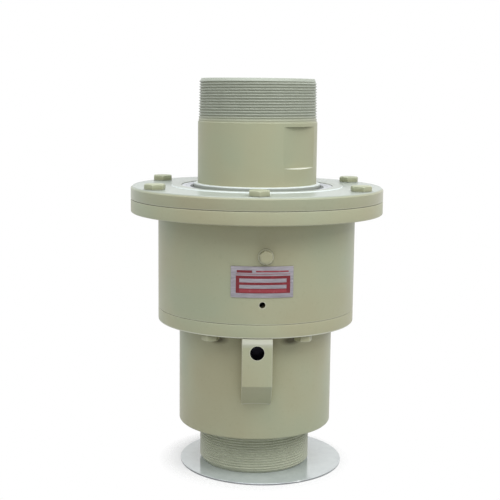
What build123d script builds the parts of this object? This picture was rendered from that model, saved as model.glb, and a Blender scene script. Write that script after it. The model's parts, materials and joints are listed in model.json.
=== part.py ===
from build123d import *
from math import cos, degrees, radians, sin, tan
import os

# Hydraulic rotary union for a five inch line, standing upright.
# The rotor turns in two tapered roller bearings inside a flanged body. A spring-loaded carbon
# ring in the lower housing seals the rotating joint, and a lug stops the housing from turning.
# Millimetres, +Z up along the axis of rotation, z = 0 under the end cap. Azimuths are measured
# from the lug (-Y) towards +X.

# Pipe ends and flow passage
rotor_pipe_diameter = 141.3
thread_step = 0.65
rotor_wall = 15.0
stator_wall = 11.5
thread_length = 50.0
thread_chamfer = 3.5
bore_chamfer = 2.0

# Heights of the stack, from the cap upwards
cap_thickness = 2.0
stator_pipe_reach = 50.0
lower_housing_height = 124.5
lower_flange_thickness = 15.5
body_height = 114.0
body_flange_thickness = 15.5
cover_thickness = 15.5
cover_ring_rise = 1.0
collar_rise = 3.5
neck_height = 76.0

# Walls and overhangs of the housings
body_wall = 22.5
flange_overhang = 32.5
lower_wall = 11.0
edge_break = 1.2
cover_edge_break = 2.5
bottom_rounding = 2.5

# Tapered roller bearings
bearing_section = 25.0
bearing_width = 32.0
cup_width = 27.0
roller_count = 12
roller_pitch_inset = 13.0
roller_length = 24.0
roller_diameter = 12.5
roller_axis_tilt = 13.5
race_gap = 0.04
race_overrun = 0.3
small_rib = 2.0
large_rib = 3.5
cage_thickness = 1.6
cage_offset = 1.0
cage_end_strip = 3.2
cage_window_play = 0.3
cone_spacing = 20.0
spacer_wall = 5.0
cone_spacer_wall = 8.0

# Rotor and what is locked on it
collar_step = 5.0
rotor_tail = 22.0
lock_nut_wall = 10.0
lock_nut_thickness = 14.0
lock_nut_slot_width = 10.0
lock_nut_slot_depth = 5.0
lock_washer_wall = 9.0
lock_washer_thickness = 2.0
keyway_width = 6.0
keyway_depth = 3.0
flat_azimuth = 45.0
flat_depth = 4.6
flat_height = 47.0
flat_start = 24.5

# Shoulders and spigots that centre the housings on each other
bearing_shoulder = 7.0
spigot_length = 15.5
collar_gap = 2.0
cover_relief = 3.0
cup_seat_width = 9.0
lower_spigot_height = 6.0
lower_spigot_clearance = 2.0
ring_groove_depth = 2.6
ring_groove_width = 3.6
ring_groove_inset = 1.6
cover_groove_inset = 5.0

# Lip seal in the cover
lip_seal_section = 15.0
lip_seal_width = 12.0
lip_seal_inset = 0.8
lip_seal_wall = 4.0
cover_ring_width = 12.0

# Face seal in the lower housing
housing_floor = 20.0
floor_lip = 2.0
stator_seat_step = 2.5
sleeve_wall = 6.0
sleeve_top_gap = 4.0
seal_bore_step = 2.0
seal_ring_wall = 7.0
seal_ring_stand_out = 4.0
seal_ring_pocket = 8.0
seal_film = 0.02
carbon_bore_step = 1.5
carbon_nose = 4.5
carbon_step = 5.0
carbon_thickness = 12.0
carbon_base = 5.0
carbon_seat = 4.0
carrier_wall = 3.95
carrier_flange_edge = 1.5
carrier_flange_thickness = 8.0
carrier_height = 52.0
carrier_web = 16.0
carrier_gap = 2.0
spring_wire = 4.0
spring_turns = 5
spring_seat_gap = 0.15
drive_pin_diameter = 5.0
drive_pin_inset = 0.5
drive_pin_depth = 6.0
drive_pin_stand_out = 6.0
drive_pin_play = 0.2

# Fasteners
bolt_edge = 15.0
cover_bolt_diameter = 14.0
cover_bolt_across_flats = 22.0
cover_bolt_head = 6.6
cover_bolt_grip = 12.0
lower_bolt_diameter = 12.0
lower_bolt_across_flats = 18.0
lower_bolt_head = 7.5
lower_bolt_grip = 16.0
bolt_count = 6
bolt_hole_extra = 1.0
tapped_end_gap = 1.5

# Torque lug on the lower housing
lug_width = 34.2
lug_stand_out = 30.0
lug_top_gap = 0.3
lug_brow = 4.4
lug_face_height = 49.0
lug_slope_height = 27.7
lug_hole_diameter = 16.0
lug_hole_depth = 25.0
lug_hole_inset = 10.5
lug_rounding = 1.5
lug_root = 8.0

# Oil plug, weep hole and nameplate on the body
plug_azimuth = 4.0
plug_drop = 37.5
plug_across_flats = 14.0
plug_head = 7.0
plug_washer_diameter = 17.5
plug_washer_thickness = 1.5
plug_thread_diameter = 10.0
plug_length = 14.0
spot_face_play = 1.0
spacer_port_diameter = 7.0
weep_azimuth = 2.5
weep_drop = 7.4
weep_diameter = 7.0
plate_azimuth = 2.3
plate_width = 70.0
plate_height = 35.0
plate_thickness = 0.8
plate_drop = 28.0
rivet_diameter = 2.6
rivet_head_diameter = 4.4
rivet_head = 0.7
rivet_depth = 6.0
rivet_inset = 3.6

# End cap under the stator pipe
cap_overhang = 32.0
cap_offset = 8.1
cap_spigot_height = 12.0
cap_spigot_wall = 3.5
cap_play = 0.4

# Clearances
slip_fit = 0.05
seat_gap = 0.02
sliding_fit = 0.06

# Rotor radii
rotor_pipe_radius = rotor_pipe_diameter / 2
rotor_thread_radius = rotor_pipe_radius - thread_step
bearing_seat_radius = rotor_thread_radius
bore_radius = rotor_thread_radius - rotor_wall
collar_radius = bearing_seat_radius + collar_step
lock_nut_radius = bearing_seat_radius + lock_nut_wall
lock_washer_radius = bearing_seat_radius + lock_washer_wall
lip_seal_radius = collar_radius + lip_seal_section
cover_ring_radius = lip_seal_radius + cover_ring_width

# Body radii, from the bearing outwards
body_bore_radius = bearing_seat_radius + bearing_section
roller_pitch_radius = bearing_seat_radius + roller_pitch_inset
body_lip_radius = body_bore_radius - bearing_shoulder
body_radius = body_bore_radius + body_wall
flange_radius = body_radius + flange_overhang
cover_bolt_circle_radius = flange_radius - bolt_edge

# Stator and face seal radii, from the bore outwards
stator_pipe_radius = bore_radius + stator_wall
stator_seat_radius = stator_pipe_radius - stator_seat_step
sleeve_radius = bore_radius + sleeve_wall
seal_ring_bore_radius = bore_radius + seal_bore_step
seal_ring_radius = seal_ring_bore_radius + seal_ring_wall
carbon_bore_radius = seal_ring_bore_radius + carbon_bore_step
carbon_nose_radius = carbon_bore_radius + carbon_nose
carbon_radius = carbon_nose_radius + carbon_step
carrier_radius = carbon_radius + slip_fit + carrier_wall
drive_pin_radius = drive_pin_diameter / 2
drive_pin_circle_radius = carrier_radius - slip_fit + drive_pin_radius + drive_pin_inset
carrier_flange_radius = drive_pin_circle_radius + drive_pin_radius + carrier_flange_edge
cavity_radius = carrier_flange_radius + carrier_gap
lower_housing_radius = cavity_radius + lower_wall
lower_bolt_circle_radius = (lower_housing_radius + body_radius) / 2
spring_radius = (sleeve_radius + drive_pin_circle_radius - drive_pin_radius) / 2

# Levels along the axis
pipe_end_level = cap_thickness
housing_level = pipe_end_level + stator_pipe_reach
floor_level = housing_level + housing_floor
lower_flange_level = housing_level + lower_housing_height
joint_level = lower_flange_level + lower_flange_thickness
body_flange_level = joint_level + body_height
cover_level = body_flange_level + body_flange_thickness
cover_top = cover_level + cover_thickness
cover_ring_top = cover_top + cover_ring_rise
collar_top = cover_top + collar_rise
shoulder_level = cover_top + neck_height
rotor_top = shoulder_level + thread_length
bearing_top = cover_level - spigot_length
upper_cone_low = bearing_top - bearing_width
lower_cone_top = upper_cone_low - cone_spacing
bearing_low = lower_cone_top - bearing_width
lock_washer_low = bearing_low - lock_washer_thickness
lock_nut_low = lock_washer_low - lock_nut_thickness
rotor_low = lock_nut_low - rotor_tail
seal_face = rotor_low - seal_ring_stand_out
carrier_top = seal_face - seal_film - carbon_thickness + carbon_seat
carrier_low = carrier_top - carrier_height
sleeve_top = carrier_top - carbon_seat - carrier_web - sleeve_top_gap

os.makedirs("parts", exist_ok=True)


def turn(*profile, mode=Mode.ADD):
    """Revolve a closed outline of (radius, height) points about the axis."""
    with BuildSketch(Plane.XZ) as section:
        with BuildLine():
            Polyline(*profile, close=True)
        make_face()
    revolve(section.sketch, axis=Axis.Z, mode=mode)


def ring(inner, outer, low, high, mode=Mode.ADD):
    """A plain turned ring between two radii and two levels."""
    turn((inner, low), (outer, low), (outer, high), (inner, high), mode=mode)


def rim(part, radius, level):
    """The circular edge of one radius at one level."""
    circles = part.edges().filter_by(GeomType.CIRCLE)
    return circles.filter_by(
        lambda edge: abs(edge.radius - radius) < seat_gap and abs(edge.center().Z - level) < seat_gap
    )


def outward(azimuth, distance, height):
    """A plane that faces away from the axis, with its Y upwards."""
    angle = radians(azimuth)
    face = Vector(sin(angle), -cos(angle), 0)
    return Plane(
        origin=face * distance + Vector(0, 0, height),
        x_dir=(cos(angle), sin(angle), 0),
        z_dir=face,
    )


def save(builder, label):
    """Name a finished piece and write it to its own file."""
    builder.part.label = label
    export_step(builder.part, f"parts/{label}.step")


def drill(plane, diameter, depth):
    """A round hole from a plane inwards."""
    with BuildSketch(plane) as mouth:
        Circle(diameter / 2)
    extrude(mouth.sketch, amount=-depth, mode=Mode.SUBTRACT)


def bolt_holes(level, circle_radius, start, diameter, depth):
    """The bolt pattern's holes, from a level upwards."""
    with BuildSketch(Plane.XY.offset(level)) as holes:
        with PolarLocations(circle_radius, bolt_count, start_angle=start):
            Circle(diameter / 2)
    extrude(holes.sketch, amount=depth, mode=Mode.SUBTRACT)


def hex_bolts(seat, circle_radius, start, across_flats, head, shank, length):
    """Hexagon bolts on a circle. A negative head and length make them point upwards."""
    with BuildSketch(Plane.XY.offset(seat)) as heads:
        with PolarLocations(circle_radius, bolt_count, start_angle=start):
            RegularPolygon(across_flats / 2, 6, major_radius=False)
    extrude(heads.sketch, amount=head)
    with BuildSketch(Plane.XY.offset(seat)) as shanks:
        with PolarLocations(circle_radius, bolt_count, start_angle=start):
            Circle(shank / 2)
    extrude(shanks.sketch, amount=-length)


# The two bolt patterns: one cover bolt stands over the lug, the lower ones are turned by half a step
cover_bolt_start = -90
lower_bolt_start = cover_bolt_start + 180 / bolt_count
tapped_extra = 2 * slip_fit

# ---------------------------------------------------------------- bearing geometry
# A bearing is drawn once, u measured from its narrow face towards the rollers' large ends.
# The rollers, the cone race and the cup race share one apex on the axis, so they roll truly.
tilt = radians(roller_axis_tilt)
apex_distance = roller_pitch_radius / sin(tilt)
roller_taper = roller_diameter / 2 / apex_distance
middle = bearing_width / 2


def in_section(along, out):
    """Point (radius, u) at a distance along the roller's axis and out from it."""
    radius = roller_pitch_radius + along * sin(tilt) + out * cos(tilt)
    return radius, middle + along * cos(tilt) - out * sin(tilt)


def roller_radius(along):
    """The tapered roller's radius at a distance from its middle."""
    return roller_diameter / 2 + along * roller_taper


def race(along, side, gap=race_gap):
    """A point of the cup race (side 1) or the cone race (side -1)."""
    return in_section(along, side * (roller_radius(along) + gap))


def placed(profile, narrow_face, direction):
    """Move a bearing outline from u to its level, upwards or downwards."""
    return [(radius, narrow_face + direction * u) for radius, u in profile]


def cone_profile():
    """Inner ring with a small and a large rib."""
    end = roller_length / 2 + race_overrun
    seat = bearing_seat_radius + seat_gap
    small_top = in_section(-end, small_rib - roller_radius(-end) - race_gap)
    large_top = in_section(end, large_rib - roller_radius(end) - race_gap)
    return [
        (seat, 0),
        (small_top[0], 0),
        small_top,
        race(-end, -1),
        race(end, -1),
        large_top,
        (large_top[0], bearing_width),
        (seat, bearing_width),
    ]


def cup_profile():
    """Outer ring, cut square at both faces."""
    outer = body_bore_radius - seat_gap
    near, far = race(-roller_length / 2, 1), race(roller_length / 2, 1)
    slope = (far[0] - near[0]) / (far[1] - near[1])
    narrow = near[0] - near[1] * slope
    wide = near[0] + (cup_width - near[1]) * slope
    return [(narrow, 0), (outer, 0), (outer, cup_width), (wide, cup_width)]


def cage_profile():
    """Thin conical strip just outside the rollers' axes."""
    end = roller_length / 2 + cage_end_strip
    inner = cage_offset - cage_thickness / 2
    outer = cage_offset + cage_thickness / 2
    return [in_section(-end, inner), in_section(-end, outer), in_section(end, outer), in_section(end, inner)]


def rollers(narrow_face, direction):
    """One row of tapered rollers."""
    small = roller_radius(-roller_length / 2)
    large = roller_radius(roller_length / 2)
    low, high = (small, large) if direction > 0 else (large, small)
    with PolarLocations(roller_pitch_radius, roller_count):
        with Locations((0, 0, narrow_face + direction * middle)):
            Cone(low, high, roller_length, rotation=(0, direction * roller_axis_tilt, 0))


def cage(narrow_face, direction):
    """Cage with one window for each roller."""
    turn(*placed(cage_profile(), narrow_face, direction))
    width = 2 * (roller_radius(roller_length / 2) + cage_window_play)
    length = roller_length + 2 * cage_window_play
    depth = roller_diameter
    with PolarLocations(roller_pitch_radius, roller_count):
        with Locations((0, 0, narrow_face + direction * middle)):
            Box(depth, width, length, rotation=(0, direction * roller_axis_tilt, 0), mode=Mode.SUBTRACT)


# ---------------------------------------------------------------- body housing
lower_register_radius = lower_housing_radius
plug_level = bearing_top - plug_drop
weep_level = bearing_low - weep_drop
plate_level = plug_level - plate_drop
spot_face_radius = plug_washer_diameter / 2 + spot_face_play
spot_face_distance = body_radius - spot_face_radius**2 / (2 * body_radius) - seat_gap
rivet_turn = degrees((plate_width / 2 - rivet_inset) / body_radius)
rivet_azimuths = (plate_azimuth - rivet_turn, plate_azimuth + rivet_turn)

with BuildPart() as body_housing:
    turn(
        (lower_register_radius, joint_level),
        (body_radius, joint_level),
        (body_radius, body_flange_level),
        (flange_radius, body_flange_level),
        (flange_radius, cover_level),
        (body_bore_radius, cover_level),
        (body_bore_radius, bearing_low),
        (body_lip_radius, bearing_low),
        (body_lip_radius, joint_level + lower_spigot_height + lower_spigot_clearance),
        (lower_register_radius, joint_level + lower_spigot_height + lower_spigot_clearance),
    )
    chamfer(rim(body_housing, flange_radius, body_flange_level), edge_break)
    chamfer(rim(body_housing, flange_radius, cover_level), edge_break / 2)
    chamfer(rim(body_housing, body_radius, joint_level), edge_break / 2)
    cover_tap_level = cover_level - cover_bolt_grip - tapped_end_gap
    bolt_holes(
        cover_tap_level,
        cover_bolt_circle_radius,
        cover_bolt_start,
        cover_bolt_diameter + tapped_extra,
        cover_bolt_grip + tapped_end_gap,
    )
    bolt_holes(
        joint_level,
        lower_bolt_circle_radius,
        lower_bolt_start,
        lower_bolt_diameter + tapped_extra,
        lower_bolt_grip + tapped_end_gap,
    )
    drill(
        outward(plug_azimuth, body_radius + plug_head, plug_level),
        2 * spot_face_radius,
        body_radius + plug_head - spot_face_distance,
    )
    drill(
        outward(plug_azimuth, body_radius, plug_level),
        plug_thread_diameter + tapped_extra,
        body_radius - body_bore_radius + spacer_wall / 2,
    )
    drill(
        outward(weep_azimuth, body_radius + edge_break, weep_level),
        weep_diameter,
        body_radius - body_lip_radius + 2 * edge_break,
    )
    for azimuth in rivet_azimuths:
        drill(
            outward(azimuth, body_radius + edge_break, plate_level),
            rivet_diameter + tapped_extra,
            rivet_depth + edge_break,
        )
save(body_housing, "body_housing")

# ---------------------------------------------------------------- cover flange, its seal and bolts
lip_seal_top = cover_ring_top - lip_seal_inset
lip_seal_low = lip_seal_top - lip_seal_width
spigot_radius = body_bore_radius - slip_fit
cover_lip_radius = collar_radius + collar_gap
cup_seat_radius = body_bore_radius - cup_seat_width
cover_groove_low = bearing_top + cover_groove_inset

with BuildPart() as cover_flange:
    turn(
        (cover_lip_radius, bearing_top + cover_relief),
        (cup_seat_radius, bearing_top + cover_relief),
        (cup_seat_radius, bearing_top),
        (spigot_radius, bearing_top),
        (spigot_radius, cover_level),
        (flange_radius, cover_level),
        (flange_radius, cover_top),
        (cover_ring_radius, cover_top),
        (cover_ring_radius - cover_ring_rise / 2, cover_ring_top),
        (lip_seal_radius, cover_ring_top),
        (lip_seal_radius, lip_seal_low),
        (cover_lip_radius, lip_seal_low),
    )
    ring(
        spigot_radius - ring_groove_depth,
        spigot_radius + slip_fit,
        cover_groove_low,
        cover_groove_low + ring_groove_width,
        mode=Mode.SUBTRACT,
    )
    chamfer(rim(cover_flange, flange_radius, cover_top), cover_edge_break)
    chamfer(rim(cover_flange, flange_radius, cover_level), edge_break / 2)
    bolt_holes(
        cover_level,
        cover_bolt_circle_radius,
        cover_bolt_start,
        cover_bolt_diameter + bolt_hole_extra,
        cover_thickness,
    )
save(cover_flange, "cover_flange")

with BuildPart() as cover_bolts:
    hex_bolts(
        cover_top,
        cover_bolt_circle_radius,
        cover_bolt_start,
        cover_bolt_across_flats,
        cover_bolt_head,
        cover_bolt_diameter,
        cover_thickness + cover_bolt_grip,
    )
save(cover_bolts, "cover_bolts")

with BuildPart() as cover_seal_ring:
    ring(
        spigot_radius - ring_groove_depth + slip_fit,
        body_bore_radius - slip_fit,
        cover_groove_low + slip_fit,
        cover_groove_low + ring_groove_width - slip_fit,
    )
save(cover_seal_ring, "cover_seal_ring")

with BuildPart() as lip_seal:
    lip_radius = collar_radius + slip_fit
    case_inner = lip_radius + lip_seal_wall
    turn(
        (lip_radius + 1.5 * slip_fit, lip_seal_top),
        (lip_seal_radius - seat_gap, lip_seal_top),
        (lip_seal_radius - seat_gap, lip_seal_low),
        (lip_seal_radius - lip_seal_wall, lip_seal_low),
        (lip_seal_radius - lip_seal_wall, lip_seal_top - lip_seal_wall),
        (case_inner, lip_seal_top - lip_seal_wall),
        (case_inner, lip_seal_low + lip_seal_wall / 2),
        (lip_radius, lip_seal_low + lip_seal_wall),
        (lip_radius + lip_seal_wall / 2, lip_seal_top - lip_seal_wall),
    )
save(lip_seal, "lip_seal")

# ---------------------------------------------------------------- plug and nameplate
with BuildPart() as oil_plug:
    seat = outward(plug_azimuth, spot_face_distance + plug_washer_thickness, plug_level)
    with BuildSketch(seat):
        RegularPolygon(plug_across_flats / 2, 6, major_radius=False)
    extrude(amount=plug_head)
    with BuildSketch(seat):
        Circle(plug_thread_diameter / 2)
    extrude(amount=-plug_length)
save(oil_plug, "oil_plug")

with BuildPart() as plug_washer:
    with BuildSketch(outward(plug_azimuth, spot_face_distance, plug_level)):
        Circle(plug_washer_diameter / 2)
        Circle(plug_thread_diameter / 2 + slip_fit, mode=Mode.SUBTRACT)
    extrude(amount=plug_washer_thickness)
save(plug_washer, "plug_washer")

with BuildPart() as nameplate:
    plate_arc = degrees(plate_width / body_radius)
    start = radians(plate_azimuth - 90 - plate_arc / 2)
    edge_plane = Plane(
        origin=(0, 0, plate_level),
        x_dir=(cos(start), sin(start), 0),
        z_dir=(sin(start), -cos(start), 0),
    )
    with BuildSketch(edge_plane):
        with Locations((body_radius + slip_fit + plate_thickness / 2, 0)):
            Rectangle(plate_thickness, plate_height)
    revolve(axis=Axis.Z, revolution_arc=plate_arc)
    for azimuth in rivet_azimuths:
        drill(
            outward(azimuth, body_radius + rivet_depth, plate_level),
            rivet_diameter + tapped_extra,
            rivet_depth + edge_break,
        )
save(nameplate, "nameplate")

with BuildPart() as nameplate_rivets:
    rivet_seat = body_radius + slip_fit + plate_thickness + slip_fit
    for azimuth in rivet_azimuths:
        with BuildSketch(outward(azimuth, rivet_seat, plate_level)):
            Circle(rivet_head_diameter / 2)
        extrude(amount=rivet_head)
        with BuildSketch(outward(azimuth, rivet_seat, plate_level)):
            Circle(rivet_diameter / 2)
        extrude(amount=-rivet_depth)
save(nameplate_rivets, "nameplate_rivets")

# ---------------------------------------------------------------- lower housing, bolts and lug
lower_spigot_radius = lower_register_radius - slip_fit
lower_groove_low = joint_level + ring_groove_inset

with BuildPart() as lower_housing:
    turn(
        (stator_seat_radius + slip_fit, housing_level),
        (lower_housing_radius, housing_level),
        (lower_housing_radius, lower_flange_level),
        (body_radius, lower_flange_level),
        (body_radius, joint_level),
        (lower_spigot_radius, joint_level),
        (lower_spigot_radius, joint_level + lower_spigot_height),
        (cavity_radius, joint_level + lower_spigot_height),
        (cavity_radius, floor_level),
        (sleeve_radius + slip_fit, floor_level),
        (sleeve_radius + slip_fit, floor_level - floor_lip),
        (stator_seat_radius + slip_fit, floor_level - floor_lip),
    )
    ring(
        lower_spigot_radius - ring_groove_depth,
        lower_spigot_radius + slip_fit,
        lower_groove_low,
        lower_groove_low + ring_groove_width,
        mode=Mode.SUBTRACT,
    )
    fillet(rim(lower_housing, lower_housing_radius, housing_level), bottom_rounding)
    chamfer(rim(lower_housing, body_radius, lower_flange_level), edge_break)
    bolt_holes(
        lower_flange_level,
        lower_bolt_circle_radius,
        lower_bolt_start,
        lower_bolt_diameter + bolt_hole_extra,
        lower_flange_thickness,
    )
    with BuildSketch(Plane.XY.offset(floor_level)):
        with PolarLocations(drive_pin_circle_radius, 2):
            Circle(drive_pin_radius + slip_fit)
    extrude(amount=-drive_pin_depth, mode=Mode.SUBTRACT)
save(lower_housing, "lower_housing")

with BuildPart() as lower_housing_bolts:
    hex_bolts(
        lower_flange_level,
        lower_bolt_circle_radius,
        lower_bolt_start,
        lower_bolt_across_flats,
        -lower_bolt_head,
        lower_bolt_diameter,
        -(lower_flange_thickness + lower_bolt_grip),
    )
save(lower_housing_bolts, "lower_housing_bolts")

with BuildPart() as housing_seal_ring:
    ring(
        lower_spigot_radius - ring_groove_depth + slip_fit,
        lower_register_radius - slip_fit,
        lower_groove_low + slip_fit,
        lower_groove_low + ring_groove_width - slip_fit,
    )
save(housing_seal_ring, "housing_seal_ring")

lug_top = lower_flange_level - lug_top_gap
lug_reach = lower_housing_radius + lug_stand_out
lug_brow_level = lug_top - lug_brow
lug_face_low = lug_brow_level - lug_face_height
lug_slope_low = lug_face_low - lug_slope_height
lug_hole_level = lug_brow_level - lug_hole_inset

with BuildPart() as torque_lug:
    root_radius = lower_housing_radius - lug_root
    slope = lug_slope_height / lug_stand_out
    with BuildSketch(Plane.YZ):
        with BuildLine():
            Polyline(
                (-lug_reach + lug_brow, lug_top),
                (-lug_reach, lug_brow_level),
                (-lug_reach, lug_face_low),
                (-root_radius, lug_slope_low - lug_root * slope),
                (-root_radius, lug_top),
                close=True,
            )
        make_face()
    extrude(amount=lug_width / 2, both=True)
    front_edges = torque_lug.faces().sort_by(Axis.Y)[0].edges()
    fillet(front_edges, lug_rounding)
    with BuildSketch(Plane.XY):
        Circle(lower_housing_radius)
    extrude(amount=lower_flange_level, mode=Mode.SUBTRACT)
    drill(outward(0, lug_reach, lug_hole_level), lug_hole_diameter, lug_hole_depth)
save(torque_lug, "torque_lug")

# ---------------------------------------------------------------- stator pipe and end cap
with BuildPart() as stator_pipe:
    turn(
        (bore_radius, pipe_end_level),
        (stator_pipe_radius, pipe_end_level),
        (stator_pipe_radius, housing_level),
        (stator_seat_radius, housing_level),
        (stator_seat_radius, floor_level - floor_lip),
        (sleeve_radius, floor_level - floor_lip),
        (sleeve_radius, sleeve_top),
        (bore_radius, sleeve_top),
    )
    chamfer(rim(stator_pipe, stator_pipe_radius, pipe_end_level), thread_chamfer)
    chamfer(rim(stator_pipe, bore_radius, pipe_end_level), bore_chamfer)
save(stator_pipe, "stator_pipe")

cap_radius = stator_pipe_radius + cap_overhang

with BuildPart() as end_cap:
    with BuildSketch(Plane.XY):
        with Locations((cap_offset, 0)):
            Circle(cap_radius)
    extrude(amount=cap_thickness)
    chamfer(rim(end_cap, cap_radius, cap_thickness), cap_thickness / 4)
    spigot_outer = bore_radius - cap_play
    ring(spigot_outer - cap_spigot_wall, spigot_outer, cap_thickness, cap_thickness + cap_spigot_height)
    chamfer(rim(end_cap, spigot_outer, cap_thickness + cap_spigot_height), cap_spigot_wall / 2)
save(end_cap, "end_cap")

# ---------------------------------------------------------------- rotor
pocket_floor = rotor_low + seal_ring_pocket
groove_inner = seal_ring_bore_radius + ring_groove_inset
groove_outer = groove_inner + ring_groove_width

with BuildPart() as rotor:
    turn(
        (bore_radius, rotor_low),
        (bearing_seat_radius, rotor_low),
        (bearing_seat_radius, bearing_top),
        (collar_radius, bearing_top),
        (collar_radius, collar_top),
        (rotor_pipe_radius, collar_top),
        (rotor_pipe_radius, shoulder_level),
        (rotor_thread_radius, shoulder_level),
        (rotor_thread_radius, rotor_top),
        (bore_radius, rotor_top),
    )
    chamfer(rim(rotor, rotor_thread_radius, rotor_top), thread_chamfer)
    chamfer(rim(rotor, bore_radius, rotor_top), bore_chamfer)
    chamfer(rim(rotor, collar_radius, collar_top), edge_break)
    ring(0, seal_ring_radius + slip_fit, rotor_low, pocket_floor, mode=Mode.SUBTRACT)
    ring(groove_inner, groove_outer, pocket_floor, pocket_floor + ring_groove_depth, mode=Mode.SUBTRACT)
    for azimuth in (flat_azimuth, flat_azimuth + 180):
        flat_middle = cover_top + flat_start + flat_height / 2
        with BuildSketch(outward(azimuth, rotor_pipe_radius - flat_depth, flat_middle)):
            Rectangle(rotor_pipe_diameter, flat_height)
        extrude(amount=rotor_pipe_radius, mode=Mode.SUBTRACT)
    with BuildSketch(Plane.XY.offset(rotor_low)):
        with Locations((bearing_seat_radius, 0)):
            Rectangle(2 * keyway_depth, keyway_width)
    extrude(amount=bearing_low - rotor_low, mode=Mode.SUBTRACT)
save(rotor, "rotor")

with BuildPart() as lock_washer:
    ring(bearing_seat_radius + slip_fit, lock_washer_radius, lock_washer_low, bearing_low)
    tab_inner = bearing_seat_radius - keyway_depth + seat_gap
    with BuildSketch(Plane.XY.offset(lock_washer_low)):
        with Locations(((tab_inner + bearing_seat_radius + keyway_depth) / 2, 0)):
            Rectangle(bearing_seat_radius + keyway_depth - tab_inner, keyway_width - 2 * slip_fit)
    extrude(amount=lock_washer_thickness)
save(lock_washer, "lock_washer")

with BuildPart() as lock_nut:
    ring(bearing_seat_radius + slip_fit, lock_nut_radius, lock_nut_low, lock_washer_low)
    chamfer(rim(lock_nut, lock_nut_radius, lock_nut_low), edge_break)
    with BuildSketch(Plane.XY.offset(lock_nut_low)):
        with PolarLocations(lock_nut_radius, 4):
            Rectangle(2 * lock_nut_slot_depth, lock_nut_slot_width)
    extrude(amount=lock_nut_thickness, mode=Mode.SUBTRACT)
save(lock_nut, "lock_nut")

with BuildPart() as cone_spacer:
    cone_seat = bearing_seat_radius + seat_gap
    ring(cone_seat, cone_seat + cone_spacer_wall, lower_cone_top, upper_cone_low)
save(cone_spacer, "cone_spacer")

with BuildPart() as rotating_seal_ring:
    ring(seal_ring_bore_radius, seal_ring_radius, seal_face, pocket_floor)
save(rotating_seal_ring, "rotating_seal_ring")

with BuildPart() as rotor_seal_ring:
    ring(
        groove_inner + slip_fit,
        groove_outer - slip_fit,
        pocket_floor + slip_fit,
        pocket_floor + ring_groove_depth - slip_fit,
    )
save(rotor_seal_ring, "rotor_seal_ring")

# ---------------------------------------------------------------- bearings
for row, narrow_face, direction in (("upper", bearing_top, -1), ("lower", bearing_low, 1)):
    with BuildPart() as bearing_cone:
        turn(*placed(cone_profile(), narrow_face, direction))
    save(bearing_cone, f"{row}_bearing_cone")
    with BuildPart() as bearing_cup:
        turn(*placed(cup_profile(), narrow_face, direction))
    save(bearing_cup, f"{row}_bearing_cup")
    with BuildPart() as bearing_rollers:
        rollers(narrow_face, direction)
    save(bearing_rollers, f"{row}_bearing_rollers")
    with BuildPart() as bearing_cage:
        cage(narrow_face, direction)
    save(bearing_cage, f"{row}_bearing_cage")

with BuildPart() as cup_spacer:
    cup_spacer_radius = body_bore_radius - seat_gap
    spacer_low = bearing_low + cup_width
    spacer_top = bearing_top - cup_width
    ring(cup_spacer_radius - spacer_wall, cup_spacer_radius, spacer_low, spacer_top)
    drill(
        outward(plug_azimuth, body_radius, plug_level),
        spacer_port_diameter,
        body_radius - body_bore_radius + 2 * spacer_wall,
    )
save(cup_spacer, "cup_spacer")

# ---------------------------------------------------------------- face seal
with BuildPart() as seal_carrier:
    carrier_bore = sleeve_radius + sliding_fit
    web_level = carrier_top - carbon_seat - carrier_web
    turn(
        (carrier_bore, carrier_low),
        (carrier_flange_radius, carrier_low),
        (carrier_flange_radius, carrier_low + carrier_flange_thickness),
        (carrier_radius, carrier_low + carrier_flange_thickness),
        (carrier_radius, carrier_top),
        (carbon_radius + slip_fit, carrier_top),
        (carbon_radius + slip_fit, carrier_top - carbon_seat),
        (carbon_bore_radius, carrier_top - carbon_seat),
        (carbon_bore_radius, web_level),
        (carrier_bore, web_level),
    )
    carrier_groove_low = (carrier_low + web_level) / 2
    ring(
        0,
        carrier_bore + ring_groove_depth,
        carrier_groove_low,
        carrier_groove_low + ring_groove_width,
        mode=Mode.SUBTRACT,
    )
    with BuildSketch(Plane.XY.offset(carrier_low)):
        with PolarLocations(drive_pin_circle_radius, 2):
            Circle(drive_pin_radius + drive_pin_play)
    extrude(amount=carrier_flange_thickness, mode=Mode.SUBTRACT)
save(seal_carrier, "seal_carrier")

with BuildPart() as carrier_seal_ring:
    ring(
        carrier_bore,
        carrier_bore + ring_groove_depth - slip_fit,
        carrier_groove_low + slip_fit,
        carrier_groove_low + ring_groove_width - slip_fit,
    )
save(carrier_seal_ring, "carrier_seal_ring")

with BuildPart() as carbon_ring:
    carbon_low = carrier_top - carbon_seat
    turn(
        (carbon_bore_radius, carbon_low),
        (carbon_radius, carbon_low),
        (carbon_radius, carbon_low + carbon_base),
        (carbon_nose_radius, carbon_low + carbon_base),
        (carbon_nose_radius, seal_face - seal_film),
        (carbon_bore_radius, seal_face - seal_film),
    )
save(carbon_ring, "carbon_ring")

with BuildPart() as seal_spring:
    spring_height = carrier_low - floor_level - spring_wire - 2 * spring_seat_gap
    spring_start = Plane.XY.offset(floor_level + spring_wire / 2 + spring_seat_gap)
    with BuildLine(spring_start) as coil:
        Helix(pitch=spring_height / spring_turns, height=spring_height, radius=spring_radius)
    with BuildSketch(Plane(origin=coil.line @ 0, z_dir=coil.line % 0)):
        Rectangle(spring_wire, spring_wire)
    sweep(path=coil.line, is_frenet=True)
save(seal_spring, "seal_spring")

with BuildPart() as drive_pins:
    with BuildSketch(Plane.XY.offset(floor_level - drive_pin_depth)):
        with PolarLocations(drive_pin_circle_radius, 2):
            Circle(drive_pin_radius)
    pin_top = carrier_low + carrier_flange_thickness + drive_pin_stand_out
    extrude(amount=pin_top - floor_level + drive_pin_depth)
save(drive_pins, "drive_pins")
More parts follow.
